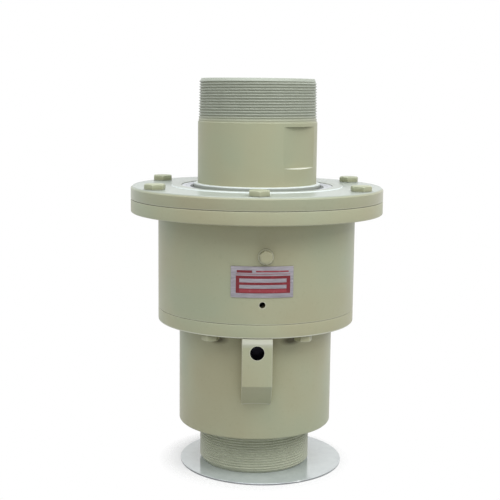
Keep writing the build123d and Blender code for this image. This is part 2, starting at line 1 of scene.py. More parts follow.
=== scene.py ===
# %% [markdown]
# A hydraulic rotary union lets oil or water flow from a pipe that stands still into a pipe that turns.
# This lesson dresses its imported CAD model. The frame comes first: every CAD part already stands at its
# real place, so each new piece takes its position from the frame and only adds the looks.

# %% Load the frame
import json
import math
import bpy
from mathutils import Matrix, Vector


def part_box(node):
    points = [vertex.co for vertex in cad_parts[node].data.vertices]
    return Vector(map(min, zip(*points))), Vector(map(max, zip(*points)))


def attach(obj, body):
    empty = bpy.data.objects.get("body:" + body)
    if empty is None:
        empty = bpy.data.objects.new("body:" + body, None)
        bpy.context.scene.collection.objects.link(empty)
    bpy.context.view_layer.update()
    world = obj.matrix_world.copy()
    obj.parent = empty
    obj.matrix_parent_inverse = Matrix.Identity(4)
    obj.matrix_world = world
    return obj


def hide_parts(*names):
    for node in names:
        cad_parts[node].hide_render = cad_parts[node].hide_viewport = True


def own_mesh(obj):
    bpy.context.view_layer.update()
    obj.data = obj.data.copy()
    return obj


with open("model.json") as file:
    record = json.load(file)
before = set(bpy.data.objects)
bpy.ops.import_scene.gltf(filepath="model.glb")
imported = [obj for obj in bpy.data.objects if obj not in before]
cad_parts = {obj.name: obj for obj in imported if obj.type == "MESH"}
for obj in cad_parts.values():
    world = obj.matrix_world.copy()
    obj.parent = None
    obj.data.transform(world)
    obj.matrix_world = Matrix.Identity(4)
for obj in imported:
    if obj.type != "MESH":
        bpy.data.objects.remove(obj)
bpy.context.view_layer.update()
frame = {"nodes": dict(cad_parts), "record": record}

# %% [markdown]
# The union is built from round parts about one upright axis, so most sizes are a radius and two levels.
# They are read from the boxes of the CAD nodes, and only the sizes of what is added here are written
# down. All lengths are metres.

# %% Sizes read from the frame
MM = 0.001


def levels(node):
    """Lowest and highest level of a CAD node."""
    low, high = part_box(node)
    return low[2], high[2]


def reach(node):
    """Half the width of a CAD node, which is its radius where it is round."""
    low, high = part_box(node)
    return (high[1] - low[1]) / 2


body_low, body_top = levels("body_housing")
cover_low, cover_ring_top = levels("cover_flange")
housing_low, housing_top = levels("lower_housing")
rotor_low, rotor_top = levels("rotor")
stator_low, stator_top = levels("stator_pipe")
flange_radius = reach("body_housing")
body_radius = reach("lower_housing")
stator_radius = reach("stator_pipe")
collar_radius = reach("rotor")
print("flange radius", round(flange_radius, 4), "body radius", round(body_radius, 4))

# %% Sizes shared by the turned parts
cover_ring_rise = 1.0 * MM
cover_edge_break = 2.5 * MM
body_flange_thickness = 15.5 * MM
lower_flange_thickness = 15.5 * MM
lower_spigot_height = 6.0 * MM
cover_top = cover_ring_top - cover_ring_rise
joint_level = body_low
lower_flange_low = joint_level - lower_flange_thickness
body_flange_low = body_top - body_flange_thickness
collar_top = cover_top + 3.5 * MM
shoulder_level = rotor_top - 50.0 * MM
bearing_bore_radius = reach("upper_bearing_cup")
seal_radius = reach("lip_seal")
edge = 1.0 * MM
joint_gap = 0.45 * MM
joint_gap_depth = 5.0 * MM
spin_steps = 256
print("cover top", round(cover_top, 4), "joint", round(joint_level, 4))

# %% [markdown]
# Blender's operators act on whatever is selected, and loading the frame leaves the CAD nodes selected.
# So every new piece starts from a clean selection. These helpers do that, and they finish a piece the
# way a CAD node is finished: origin at the axis, normals outwards, doubles merged. Two plain solids, a
# block and a cylinder, are the start of all that isn't turned. Cuts are booleans and share one helper.

# %% Helpers for a clean start and a clean finish
MERGE = 0.005 * MM


def start_clean():
    """Leave edit mode and deselect everything."""
    if bpy.context.object and bpy.context.object.mode != "OBJECT":
        bpy.ops.object.mode_set(mode="OBJECT")
    bpy.ops.object.select_all(action="DESELECT")


def make_active(piece):
    """Select one piece alone."""
    start_clean()
    piece.select_set(True)
    bpy.context.view_layer.objects.active = piece


def copy_of(piece):
    """A copy of a piece with a mesh of its own."""
    copy = piece.copy()
    copy.data = piece.data.copy()
    bpy.context.collection.objects.link(copy)
    return copy


def settle(piece):
    """Apply the place, turn and size of a piece to its mesh."""
    make_active(piece)
    bpy.ops.object.transform_apply(location=True, rotation=True, scale=True)
    return piece


def edit_all():
    """Enter edit mode with everything selected."""
    bpy.ops.object.mode_set(mode="EDIT")
    bpy.ops.mesh.select_all(action="SELECT")


def finish_mesh(piece, smooth_angle=35):
    """Merge doubles, turn the faces outwards, apply the place and shade by angle."""
    settle(piece)
    edit_all()
    bpy.ops.mesh.remove_doubles(threshold=MERGE)
    bpy.ops.mesh.normals_make_consistent(inside=False)
    bpy.ops.object.mode_set(mode="OBJECT")
    bpy.ops.object.shade_smooth_by_angle(angle=math.radians(smooth_angle))
    bpy.ops.object.select_all(action="DESELECT")
    return piece


def join(pieces, name):
    """Join pieces into the first of them."""
    make_active(pieces[0])
    for piece in pieces[1:]:
        piece.select_set(True)
    bpy.ops.object.join()
    pieces[0].name = name
    return pieces[0]


def combine(piece, tool, operation="DIFFERENCE"):
    """Cut a closed tool out of a piece, or intersect them, and delete the tool."""
    make_active(piece)
    modifier = piece.modifiers.new("combine", "BOOLEAN")
    modifier.operation = operation
    modifier.solver = "EXACT"
    modifier.object = tool
    bpy.ops.object.modifier_apply(modifier=modifier.name)
    bpy.data.objects.remove(tool, do_unlink=True)


def bevel(piece, width, segments, sharper_than=30):
    """Round the edges that are sharper than an angle in degrees."""
    make_active(piece)
    modifier = piece.modifiers.new("soften", "BEVEL")
    modifier.width = width
    modifier.segments = segments
    modifier.limit_method = "ANGLE"
    modifier.angle_limit = math.radians(sharper_than)
    bpy.ops.object.modifier_apply(modifier=modifier.name)


def block(low, high):
    """A box between two corners."""
    start_clean()
    bpy.ops.mesh.primitive_cube_add(size=1)
    piece = bpy.context.object
    for vertex in piece.data.vertices:
        for axis in range(3):
            vertex.co[axis] = high[axis] if vertex.co[axis] > 0 else low[axis]
    return piece


def cylinder(radius, low, high, sides, turn=0):
    """An upright cylinder about the Z axis, between two levels, turned by an angle in degrees."""
    start_clean()
    bpy.ops.mesh.primitive_cylinder_add(vertices=sides, radius=radius, depth=high - low)
    piece = bpy.context.object
    piece.location.z = (low + high) / 2
    piece.rotation_euler.z = math.radians(turn)
    return settle(piece)


def dress(piece, *finishes):
    """Give a piece its materials and print what was made."""
    for finish in finishes:
        piece.data.materials.append(finish)
    corners = [vertex.co for vertex in piece.data.vertices]
    size = [max(c[i] for c in corners) - min(c[i] for c in corners) for i in range(3)]
    millimetres = [round(length / MM, 1) for length in size]
    print(piece.name, "size in mm", millimetres, "faces", len(piece.data.polygons))


# %% [markdown]
# A turned part is an outline spun about the axis. A real edge is never razor sharp: the lathe leaves a
# small rounding that catches the light, and that thin bright line is most of what makes a rim look
# real. So each corner of the outline may carry its own rounding, drawn as a short arc before the spin.

# %% Helper for turned parts
ARC_STEPS = 5


def rounded_outline(corners):
    """Points of a closed outline. A corner is (radius, level) or (radius, level, rounding)."""
    points = []
    count = len(corners)
    for i, corner in enumerate(corners):
        here = Vector(corner[:2])
        rounding = corner[2] if len(corner) > 2 else 0
        if rounding == 0:
            points.append(here)
            continue
        back = (Vector(corners[i - 1][:2]) - here).normalized()
        ahead = (Vector(corners[(i + 1) % count][:2]) - here).normalized()
        half = back.angle(ahead) / 2
        centre = here + (back + ahead).normalized() * rounding / math.sin(half)
        first = here + back * rounding / math.tan(half) - centre
        last = here + ahead * rounding / math.tan(half) - centre
        sweep = first.angle_signed(last)
        for step in range(ARC_STEPS + 1):
            swing = Matrix.Rotation(-sweep * step / ARC_STEPS, 2)
            points.append(centre + swing @ first)
    return points


def turned(name, corners, steps=spin_steps):
    """Spin a closed outline of (radius, level) corners about the axis."""
    start_clean()
    points = rounded_outline(corners)
    mesh = bpy.data.meshes.new(name)
    mesh.from_pydata(
        [(p[0], 0, p[1]) for p in points],
        [(i, (i + 1) % len(points)) for i in range(len(points))],
        [],
    )
    piece = bpy.data.objects.new(name, mesh)
    bpy.context.collection.objects.link(piece)
    make_active(piece)
    edit_all()
    bpy.ops.mesh.spin(steps=steps, angle=2 * math.pi, center=(0, 0, 0), axis=(0, 0, 1))
    return finish_mesh(piece)


# %% [markdown]
# The turned housings are drilled after turning. A drill is a cylinder that is laid along the hole and
# subtracted. The azimuth of a hole is measured from the torque lug towards the right, in degrees.

# %% Helper for drilling and for placing things on the round body


def facing(azimuth, distance, height):
    """Matrix of a place on the housing: X to the right, Y up, Z outwards."""
    angle = math.radians(azimuth)
    out = Vector((math.sin(angle), -math.cos(angle), 0))
    right = Vector((math.cos(angle), math.sin(angle), 0))
    up = Vector((0, 0, 1))
    turn = Matrix((right, up, out)).transposed().to_4x4()
    return Matrix.Translation(out * distance + up * height) @ turn


def drill(piece, place, radius, depth, mouth=2 * MM, sides=64):
    """Drill a round hole inwards from a place, with a drill that starts just outside it."""
    tool = cylinder(radius, -depth, mouth, sides)
    tool.data.transform(place)
    combine(piece, tool)


# %% [markdown]
# The housings and all that is bolted to them wear the same machine paint: a greyish olive cream,
# semi-gloss, sprayed a little unevenly. Such a paint is a chain of shader nodes, and short helpers keep
# the chain readable: one adds a node, one feeds a socket, and the others are noise, ramps and mixes.

# %% Helpers for node materials


def new_material(name):
    """An empty node material with its shader and output."""
    material = bpy.data.materials.new(name)
    material.use_nodes = True
    tree = material.node_tree
    tree.nodes.clear()
    output = tree.nodes.new("ShaderNodeOutputMaterial")
    shader = tree.nodes.new("ShaderNodeBsdfPrincipled")
    feed(tree, shader.outputs["BSDF"], output.inputs["Surface"])
    return material, tree, shader


def add_node(tree, kind, **values):
    """Add a node and set its sockets by name or its properties."""
    node = tree.nodes.new(kind)
    for key, value in values.items():
        if key in node.inputs:
            node.inputs[key].default_value = value
        else:
            setattr(node, key, value)
    return node


def feed(tree, value, socket):
    """Give a socket a plain number, a plain colour or the output of another node."""
    if isinstance(value, (int, float)):
        socket.default_value = value
    elif isinstance(value, tuple):
        socket.default_value = (*value, 1)
    else:
        tree.links.new(value, socket)


def set_values(shader, **values):
    """Set constants of a shader. An underscore in a name stands for a space."""
    for key, value in values.items():
        shader.inputs[key.replace("_", " ")].default_value = value


def object_place(tree):
    """Where a point lies in its piece, in metres."""
    return tree.nodes.new("ShaderNodeTexCoord").outputs["Object"]


def calc(tree, operation, first, second):
    """Arithmetic on two sockets or plain numbers."""
    node = add_node(tree, "ShaderNodeMath", operation=operation)
    feed(tree, first, node.inputs[0])
    feed(tree, second, node.inputs[1])
    return node.outputs["Value"]


def rescale(tree, value, start, end, first=0.0, last=1.0):
    """Map start to first and end to last, and hold the value beyond them."""
    node = tree.nodes.new("ShaderNodeMapRange")
    names = ("Value", "From Min", "From Max", "To Min", "To Max")
    for name, source in zip(names, (value, start, end, first, last)):
        feed(tree, source, node.inputs[name])
    return node.outputs["Result"]


def noise(tree, scale, detail=3.0, roughness=0.5, stretch=None):
    """Noise in object coordinates, in cycles per metre, with an optional stretch."""
    source = object_place(tree)
    if stretch:
        mapping = add_node(tree, "ShaderNodeMapping", Scale=stretch)
        feed(tree, source, mapping.inputs["Vector"])
        source = mapping.outputs["Vector"]
    texture = add_node(tree, "ShaderNodeTexNoise", Scale=scale, Detail=detail, Roughness=roughness)
    feed(tree, source, texture.inputs["Vector"])
    return texture.outputs["Fac"]


def ramp(tree, source, stops):
    """Colour ramp from (position, colour) stops."""
    node = tree.nodes.new("ShaderNodeValToRGB")
    elements = node.color_ramp.elements
    while len(elements) < len(stops):
        elements.new(0.5)
    for element, (position, colour) in zip(elements, stops):
        element.position = position
        element.color = (*colour, 1) if len(colour) == 3 else colour
    feed(tree, source, node.inputs["Fac"])
    return node.outputs["Color"]


def mix_colour(tree, factor, first, second, blend="MIX"):
    """Mix two colours. Each may be a socket or a plain colour, and so may the factor."""
    node = add_node(tree, "ShaderNodeMix", data_type="RGBA", blend_type=blend)
    for value, index in ((factor, 0), (first, 6), (second, 7)):
        feed(tree, value, node.inputs[index])
    return node.outputs[2]


def mix_shader(tree, factor, first, second):
    """Mix two shaders by a factor."""
    node = tree.nodes.new("ShaderNodeMixShader")
    for value, socket in zip((factor, first, second), node.inputs):
        feed(tree, value, socket)
    return node.outputs["Shader"]


def bump(tree, shader, height, strength, distance):
    """Drive the shader's normal by a height, the distance in metres."""
    node = add_node(tree, "ShaderNodeBump", Strength=strength, Distance=distance)
    feed(tree, height, node.inputs["Height"])
    feed(tree, node.outputs["Normal"], shader.inputs["Normal"])


def to_linear(red, green, blue):
    """A colour written as it looks on a screen, 0 to 255, as linear values."""
    values = []
    for channel in (red, green, blue):
        c = channel / 255
        values.append(c / 12.92 if c <= 0.04045 else ((c + 0.055) / 1.055) ** 2.4)
    return tuple(values)


# %% [markdown]
# One recipe mixes every paint, because all surfaces were sprayed in one go and differ only by what came
# after. Slow noise shifts the colour, fine noise is the orange peel in the gloss. Ambient occlusion
# finds the corners and darkens them with a dusty colour, a painted shade with some dust in it. Taken
# from inside it finds the edges and paints them pale, a painted highlight as on paint worn thin. A
# band of another colour may lie between two levels, and dark spots at given places are painted shadows.

# %% The recipe of the machine paint
PAINT = to_linear(171, 172, 143)
PAINT_WARM = to_linear(170, 167, 137)
PAINT_COOL = to_linear(166, 172, 145)
# Painted shade: corners and the band under the flanges get this dusty colour, with some dust.
PAINT_DUST_AND_SHADE = to_linear(126, 120, 88)
PAINT_THIN = to_linear(164, 169, 155)
# Painted highlight: the rounded edges get this pale colour, as on paint worn thin.
PAINT_EDGE_HIGHLIGHT = to_linear(206, 208, 190)
# Painted highlight on the cover's raised ring and the collar's top edge.
PAINT_BRIGHT_HIGHLIGHT = to_linear(218, 225, 222)
# Painted highlight on the lower ledge of a wrench flat, which faces the lamps above.
PAINT_LEDGE_HIGHLIGHT = to_linear(236, 236, 222)
# Painted shadow: dark spots on the lower housing behind its bolts.
PAINT_BOLT_SHADOW = to_linear(84, 80, 56)
# Painted light: the torque lug's brow, which faces the lamp overhead, is lighter.
PAINT_LIT_BROW = to_linear(182, 183, 167)
PAINT_FILLED = to_linear(182, 186, 166)
# Painted light: the cover's top face and the collar, lighter and bluer as lit from above.
PAINT_LIT_FACE = to_linear(166, 172, 162)
SPECK_SHADE = (0.93, 0.93, 0.92)
WHITE = (1, 1, 1)
edge_highlight_reach = 1.5 * MM
bolt_shadow_near = 5 * MM
bolt_shadow_far = 15 * MM
bolt_shadow_flatness = 2.3


def height_band(tree, low, high, blur=1.5 * MM):
    """A mask that is 1 between two levels and 0 elsewhere."""
    split = tree.nodes.new("ShaderNodeSeparateXYZ")
    feed(tree, object_place(tree), split.inputs[0])
    above = rescale(tree, split.outputs["Z"], low - blur, low)
    below = rescale(tree, split.outputs["Z"], high + blur, high)
    return calc(tree, "MULTIPLY", above, below)


def bolt_shadow_mask(tree, places):
    """A mask of flat painted shadow spots: 1 close to any of the places, and 0 further off."""
    flatter = add_node(tree, "ShaderNodeVectorMath", operation="MULTIPLY")
    flatter.inputs[1].default_value = (1, 1, bolt_shadow_flatness)
    feed(tree, object_place(tree), flatter.inputs[0])
    mask = 0.0
    for x, y, z in places:
        apart = add_node(tree, "ShaderNodeVectorMath", operation="DISTANCE")
        apart.inputs[1].default_value = (x, y, z * bolt_shadow_flatness)
        feed(tree, flatter.outputs["Vector"], apart.inputs[0])
        spot = rescale(tree, apart.outputs["Value"], bolt_shadow_far, bolt_shadow_near)
        mask = calc(tree, "MAXIMUM", mask, spot)
    return mask


def occlusion_mask(tree, amount, distance, full, none, inside=False):
    """A mask of the corners, or from inside of the edges, with its strength and reach."""
    node = add_node(tree, "ShaderNodeAmbientOcclusion", samples=6, inside=inside, Distance=distance)
    return ramp(tree, node.outputs["AO"], [(full, (amount,) * 3), (none, (0, 0, 0))])


def machine_paint(
    name, gloss=0.40, coat=0.07, dust_and_shade=0.45, dust_and_shade_reach=14 * MM, edge_highlight=0.75, grain=0.5, shade=1.0,
    band=None, band_colour=None, bolt_shadows=(),
):
    """Sprayed machine paint. Gloss is roughness; two mask strengths paint corner shade and edge
    highlights.
    """
    material, tree, shader = new_material(name)
    clouds = noise(tree, 9.0, detail=2.0)
    # A shade below one darkens the whole paint, a painted shade for parts that the lamps light more.
    tones = [[shade * channel for channel in tone] for tone in (PAINT_WARM, PAINT, PAINT_COOL)]
    tint = ramp(tree, clouds, list(zip((0.35, 0.5, 0.66), tones)))
    specks = noise(tree, 260.0, detail=2.0, roughness=0.6)
    speck_mask = ramp(tree, specks, [(0.30, SPECK_SHADE), (0.42, WHITE)])
    colour = mix_colour(tree, grain, tint, speck_mask, "MULTIPLY")
    if band:
        colour = mix_colour(tree, height_band(tree, *band), colour, band_colour)
    # Painted shade: ambient occlusion darkens the corners, with some dust.
    corners = occlusion_mask(tree, dust_and_shade, dust_and_shade_reach, 0.25, 0.75)
    colour = mix_colour(tree, corners, colour, PAINT_DUST_AND_SHADE)
    if bolt_shadows:
        colour = mix_colour(tree, bolt_shadow_mask(tree, bolt_shadows), colour, PAINT_BOLT_SHADOW)
    # Painted highlight: the edges, found from inside, turn pale.
    edge_highlights = occlusion_mask(tree, edge_highlight, edge_highlight_reach, 0.62, 0.86, inside=True)
    colour = mix_colour(tree, edge_highlights, colour, PAINT_EDGE_HIGHLIGHT)
    feed(tree, colour, shader.inputs["Base Color"])
    sheen_spots = noise(tree, 22.0, detail=3.0)
    rough = rescale(tree, sheen_spots, 0, 1, gloss - 0.07, gloss + 0.09)
    feed(tree, rough, shader.inputs["Roughness"])
    set_values(shader, IOR=1.5, Specular_IOR_Level=0.27, Coat_Weight=coat, Coat_Roughness=0.16)
    bump(tree, shader, noise(tree, 420.0, detail=2.0), 0.12, 0.15 * MM)
    return material


# %% [markdown]
# The paints differ by place. The body is darker under its flange, a painted shade with some dust. The
# cover has a smoother face, its top painted lighter and bluer as a painted light from above, and the
# cover and rotor are darkened as a whole, a painted shade for the stronger lamplight up there. The
# threads are thin and pale. Three narrow edges get painted highlights: the cover's raised ring, the
# collar's top and the lower ledge of a wrench flat.

# %% The paints
paint = machine_paint("machine_paint")
body_paint = machine_paint("body_paint", dust_and_shade=0.92, dust_and_shade_reach=22 * MM)
bolt_paint = machine_paint("bolt_paint", dust_and_shade=0.6)
# Painted highlights: bright colours for the raised ring, the collar's top and a wrench flat's ledge.
highlight_paint = machine_paint("highlight_paint", band=(0, rotor_top), band_colour=PAINT_BRIGHT_HIGHLIGHT)
ledge_highlight_paint = machine_paint("ledge_highlight_paint", band=(cover_top, rotor_top), band_colour=PAINT_LEDGE_HIGHLIGHT)
# Painted light: the cover's top face and collar wall are lighter and bluer; shade darkens the rest,
# painted shade.
cover_paint = machine_paint(
    "cover_paint", gloss=0.34, coat=0.25, dust_and_shade=0.2, shade=0.88,
    band=(cover_top - 0.2 * MM, rotor_top), band_colour=PAINT_LIT_FACE,
)
# Painted shade: the rotor paint is darkened as a whole.
rotor_paint = machine_paint(
    "rotor_paint", coat=0.04, dust_and_shade=0.2, edge_highlight=0.0, grain=0.2, shade=0.92,
    band=(shoulder_level + 8 * MM, rotor_top + MM, 9 * MM), band_colour=PAINT_THIN,
)
stator_paint = machine_paint(
    "stator_paint", dust_and_shade=0.1, edge_highlight=0.0, grain=0.2,
    band=(stator_low - MM, housing_low), band_colour=PAINT_FILLED,
)
print("paints made, materials so far:", len(bpy.data.materials))

# %% [markdown]
# Some surfaces aren't painted. The case of the lip seal is ground steel, its lip is rubber that went
# grey with dust, and the drilled hole in the torque lug is raw and oily inside, coloured near black as
# a painted shade for the deep hole. They are all two tones mixed by noise, so one function makes them,
# and the later finishes too.

# %% Steel and rubber


def two_tone(
    name, dark, light, scale, detail=4.0, spread=0.5, stretch=None, stops=(0.3, 0.7),
    relief=0.1, grain=None, band=None, band_colour=None, **values,
):
    """A finish of two tones mixed by noise, whose relief is that noise or a finer grain."""
    material, tree, shader = new_material(name)
    pattern = noise(tree, scale, detail, spread, stretch)
    colour = ramp(tree, pattern, list(zip(stops, (to_linear(*dark), to_linear(*light)))))
    if band:
        colour = mix_colour(tree, height_band(tree, *band), colour, band_colour)
    feed(tree, colour, shader.inputs["Base Color"])
    set_values(shader, **values)
    bump(tree, shader, noise(tree, grain) if grain else pattern, relief, 0.05 * MM)
    return material


def ground_steel(name, light, dark, roughness=0.3):
    """Ground metal with fine rings round the axis."""
    return two_tone(
        name, dark, light, 120.0, 5.0, stretch=(1, 1, 9), Metallic=1.0, Roughness=roughness
    )


def rubber(name, light, dark):
    """Dull moulded rubber, or another dull black, with a dry bloom."""
    return two_tone(
        name, dark, light, 60.0, spread=0.6, stops=(0.35, 0.7), relief=0.2, grain=900.0,
        Roughness=0.62,
    )


steel = ground_steel("ground_steel", (214, 218, 222), (186, 190, 196))
# Painted shade: the lug's bore is near black, raw oily steel in the shade of the hole.
shaded_bore = ground_steel("shaded_bore", (46, 44, 52), (20, 19, 24), 0.35)
nitrile = rubber("nitrile_rubber", (52, 52, 52), (30, 30, 31))
dusty_nitrile = rubber("dusty_nitrile", (122, 125, 122), (92, 95, 94))
print("steel and rubber made")

# %% [markdown]
# The body is a flanged drum: a wide flange on top where the cover sits, then a plain cylinder down to
# the joint with the lower housing. It is turned from one outline. The bearing bore inside is kept, so
# the wall has its real thickness. The joints open a little at the rim, as two broken edges do.

# %% Body housing
lip_radius = bearing_bore_radius - 7 * MM
register_radius = 91.95 * MM
undercut_radius = body_radius - joint_gap_depth
undercut_top = joint_level + 0.6 * joint_gap
register_top = joint_level + lower_spigot_height + 2 * MM
bearing_low = levels("lower_bearing_cup")[0]

body = turned("body_shell", [
    (register_radius, joint_level),
    (undercut_radius, joint_level),
    (undercut_radius, undercut_top),
    (body_radius, undercut_top, 0.4 * edge),
    (body_radius, body_flange_low, 1.5 * MM),
    (flange_radius, body_flange_low, 1.6 * edge),
    (flange_radius, body_top, 0.9 * edge),
    (bearing_bore_radius, body_top),
    (bearing_bore_radius, bearing_low),
    (lip_radius, bearing_low),
    (lip_radius, register_top),
    (register_radius, register_top),
])
plug_azimuth = 4.0
plug_level = sum(levels("plug_washer")) / 2
spot_radius = 9.75 * MM
spot_depth = 0.45 * MM
port_radius = 5.1 * MM
port_depth = 24 * MM
weep_azimuth = 2.5
weep_level = bearing_low - 7.4 * MM
weep_radius = 3.5 * MM
weep_depth = 32 * MM
port = facing(plug_azimuth, body_radius, plug_level)
drill(body, facing(weep_azimuth, body_radius, weep_level), weep_radius, weep_depth)
drill(body, port, spot_radius, spot_depth)
drill(body, port, port_radius, port_depth)
finish_mesh(body)
dress(body, body_paint)
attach(body, "root")
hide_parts("body_housing")

# %% [markdown]
# The cover flange closes the bearings. Its top has a low raised ring round the lip seal, and its rim
# matches the flange below, so the two rims read as one band with a fine groove between them. The edge
# of the raised ring gets a painted highlight, and its faces are found by their radius and level.

# %% Cover flange
opening_radius = collar_radius + 2 * MM
spigot_radius = bearing_bore_radius - 0.05 * MM
recess_radius = bearing_bore_radius - 9 * MM
recess_top = cover_low + 3 * MM
seat_radius = seal_radius + 0.02 * MM
seat_low = cover_ring_top - 12.8 * MM
ring_foot_radius = seal_radius + 12 * MM
ring_edge_radius = seal_radius + 11.2 * MM

cover = turned("cover_shell", [
    (opening_radius, recess_top),
    (recess_radius, recess_top),
    (recess_radius, cover_low),
    (spigot_radius, cover_low),
    (spigot_radius, body_top),
    (flange_radius - joint_gap_depth, body_top),
    (flange_radius - joint_gap_depth, body_top + joint_gap),
    (flange_radius, body_top + joint_gap, 0.4 * edge),
    (flange_radius, cover_top - cover_edge_break, 0.9 * edge),
    (flange_radius - cover_edge_break, cover_top, 1.5 * edge),
    (ring_foot_radius, cover_top, 0.5 * MM),
    (ring_edge_radius, cover_ring_top, 0.6 * MM),
    (seat_radius, cover_ring_top, 0.4 * MM),
    (seat_radius, seat_low),
    (opening_radius, seat_low),
])
dress(cover, cover_paint, highlight_paint)
# The raised ring's edge faces get the painted highlight.
for face in cover.data.polygons:
    off_axis = math.hypot(face.center.x, face.center.y)
    on_ring_edge = ring_edge_radius - 0.2 * MM < off_axis < ring_foot_radius + 0.1 * MM
    if on_ring_edge and cover_top < face.center.z < cover_ring_top + 0.1 * MM:
        face.material_index = 1
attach(cover, "root")
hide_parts("cover_flange")

# %% [markdown]
# The lip seal sits in the cover with its steel case outside and its rubber lip on the collar. From
# above one sees the bright pressed case, slightly dished, and the grey lip close to the shaft.

# %% Lip seal
seal_low, seal_top = levels("lip_seal")
case_wall = 1.2 * MM
case_inner = collar_radius + 4.5 * MM
dish_top = seal_top - 1.2 * MM
dish_inner_top = seal_top - 0.9 * MM

seal_case = turned("lip_seal_case", [
    (seal_radius - 0.02 * MM, seal_low),
    (seal_radius - 0.02 * MM, seal_top, 0.9 * MM),
    (seal_radius - 5.5 * MM, seal_top, 0.4 * MM),
    (seal_radius - 6.5 * MM, dish_top, 0.6 * MM),
    (case_inner, dish_inner_top, 0.4 * MM),
    (case_inner, dish_inner_top - case_wall),
    (seal_radius - case_wall, dish_top - case_wall),
    (seal_radius - case_wall, seal_low),
])
dress(seal_case, steel)
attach(seal_case, "root")
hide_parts("lip_seal")

seal_lip = turned("lip_seal_rubber", [
    (case_inner, seal_low + MM, 0.3 * MM),
    (case_inner, seal_top - 0.4 * MM, 0.5 * MM),
    (collar_radius + 0.9 * MM, seal_top - 0.6 * MM, 0.4 * MM),
    (collar_radius + 0.3 * MM, seal_top - 5 * MM, 0.3 * MM),
    (collar_radius + 1.6 * MM, seal_low + MM, 0.3 * MM),
])
dress(seal_lip, dusty_nitrile)
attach(seal_lip, "root")

# %% [markdown]
# The lower housing holds the face seal. It is a tube with a flange on top and a floor at the bottom
# that carries the stator pipe, and its lower edge is rounded off more than the others. Its own paint
# adds painted shadows on the wall behind the six bolts, painted shade under the flange and a painted
# highlight, a bright line, on the flange's lower edge.

# %% Lower housing
lower_radius = 91.95 * MM
cavity_radius = lower_radius - 11 * MM
floor_top = housing_low + 20 * MM
stator_seat_radius = stator_radius - 2.5 * MM
stator_bore_radius = stator_seat_radius + 0.05 * MM
sleeve_radius = 61 * MM
sleeve_bore_radius = sleeve_radius + 0.05 * MM
sleeve_seat = floor_top - 2 * MM
spigot_radius = lower_radius - 0.05 * MM

lower = turned("lower_housing_shell", [
    (stator_bore_radius, housing_low),
    (lower_radius, housing_low, 2.5 * MM),
    (lower_radius, lower_flange_low, 1.2 * MM),
    (body_radius, lower_flange_low, 1.3 * edge),
    (body_radius, joint_level, 0.9 * edge),
    (spigot_radius, joint_level),
    (spigot_radius, housing_top),
    (cavity_radius, housing_top),
    (cavity_radius, floor_top),
    (sleeve_bore_radius, floor_top),
    (sleeve_bore_radius, sleeve_seat),
    (stator_bore_radius, sleeve_seat),
])
# Painted shadows behind the six lower bolts.
bolt_shadow_level = lower_flange_low - 9 * MM
bolt_shadow_azimuths = (25, 88, 151, 207, 272, 331)
bolt_shadow_places = [facing(turn, lower_radius, bolt_shadow_level).translation for turn in bolt_shadow_azimuths]
# Painted highlight: a bright line along the lower flange's bottom edge.
flange_edge_highlight = (lower_flange_low + 0.5 * MM, lower_flange_low + 1.2 * MM, 0.4 * MM)
lower_paint = machine_paint(
    "lower_paint", dust_and_shade=0.92, dust_and_shade_reach=22 * MM, bolt_shadows=bolt_shadow_places,
    band=flange_edge_highlight, band_colour=PAINT_EDGE_HIGHLIGHT,
)
dress(lower, lower_paint)
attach(lower, "root")
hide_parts("lower_housing")

# %% [markdown]
# The torque lug is a block welded to the lower housing, with a blind hole for the pin that keeps the
# housing from turning. It starts as a plain box: a bisect takes off the slope below and the brow above,
# all its edges are bevelled, and the housing's radius is cut out of its back.

# %% Torque lug
lug_low, lug_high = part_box("torque_lug")
lug_width = lug_high[0] - lug_low[0]
lug_front = -lug_low[1]
lug_top = lug_high[2]
lug_brow = 4.4 * MM
lug_face_low = lug_top - lug_brow - 49 * MM
lug_slope = 27.7 / 30
lug_back = lower_radius - 5 * MM
lug_bottom = lug_face_low - (lug_front - lug_back) * lug_slope
lug_hole_level = lug_top - lug_brow - 10.5 * MM
lug_hole_radius = 8 * MM
lug_hole_depth = 25 * MM


def slice_at(piece, point, normal, away=True):
    """Cut a piece by a plane. What lies on the normal's side goes away, and the cut is closed."""
    make_active(piece)
    edit_all()
    bpy.ops.mesh.bisect(plane_co=point, plane_no=normal, clear_outer=away, use_fill=away)
    start_clean()


lug = block((-lug_width / 2, -lug_front, lug_bottom), (lug_width / 2, -lug_back, lug_top))
lug.name = "torque_lug_block"
slice_at(lug, (0, -lug_front, lug_face_low), (0, -lug_slope, -1))
slice_at(lug, (0, -lug_front, lug_top - lug_brow), (0, -1, 1))
bevel(lug, 1.1 * MM, 4)
core = cylinder(lower_radius, lug_face_low - 0.1, lug_face_low + 0.1, spin_steps)
combine(lug, core)
drill(lug, facing(0, lug_front, lug_hole_level), lug_hole_radius, lug_hole_depth)
finish_mesh(lug)
# Painted light on the lug's brow.
lit_brow = (lug_top - 4.5 * MM, lug_top + MM, 5 * MM)
lug_paint = machine_paint("lug_paint", band=lit_brow, band_colour=PAINT_LIT_BROW)
dress(lug, lug_paint, shaded_bore)
for face in lug.data.polygons:
    off_axis = math.hypot(face.center.x, face.center.z - lug_hole_level)
    if off_axis < lug_hole_radius + 0.05 * MM and face.center.y > -lug_front + 0.5 * MM:
        face.material_index = 1
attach(lug, "root")
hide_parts("torque_lug")

# %% [markdown]
# A pipe thread is a ridge that climbs as it goes round. One tooth could be wound up with the Screw
# modifier, but then its two ends have to be sewn to the pipe. It is simpler to spin a pipe with many
# fine rings and to push each point inwards by the depth that a climbing ridge has at its angle and
# level, which also lets the thread fade out at one end as a real one does.

# %% Helper for threads
ROWS_PER_PITCH = 16
THREAD_FLAT = 0.12
pitch = 25.4 / 8 * MM


